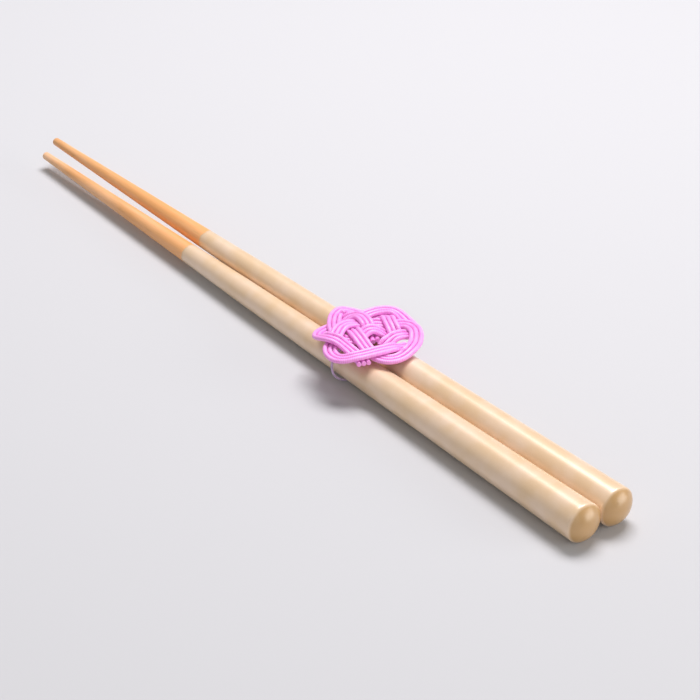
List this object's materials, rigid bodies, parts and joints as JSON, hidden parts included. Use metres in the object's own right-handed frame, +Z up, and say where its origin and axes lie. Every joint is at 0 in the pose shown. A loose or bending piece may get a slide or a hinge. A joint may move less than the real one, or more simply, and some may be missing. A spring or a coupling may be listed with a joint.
{
  "type": "pair of wooden chopsticks tied with a cord knot",
  "caption": "Round tapered wooden chopsticks with pearl lacquered handles, held together by an elastic ring and a flat five-petal knot of pink paper cord.",
  "frame": {"origin": "on the surface the pair lies on, below the middle of its bounding box", "axes": "+X along the sticks towards the handle ends, +Z up"},
  "size_m": [0.21, 0.0248, 0.0119],
  "materials": {
    "lacquered_wood": "pearl lacquer, glossy",
    "elastic": "soft matt",
    "paper_cord": "silky"
  },
  "bodies": {
    "root": {"left_chopstick": "lacquered_wood", "right_chopstick": "lacquered_wood", "elastic_ring": "elastic", "left_band_cord_1": "paper_cord", "left_band_cord_2": "paper_cord", "left_band_cord_3": "paper_cord", "front_band_cord_1": "paper_cord", "front_band_cord_2": "paper_cord", "front_band_cord_3": "paper_cord", "back_band_cord_1": "paper_cord", "back_band_cord_2": "paper_cord", "back_band_cord_3": "paper_cord"}
  },
  "joints": []
}
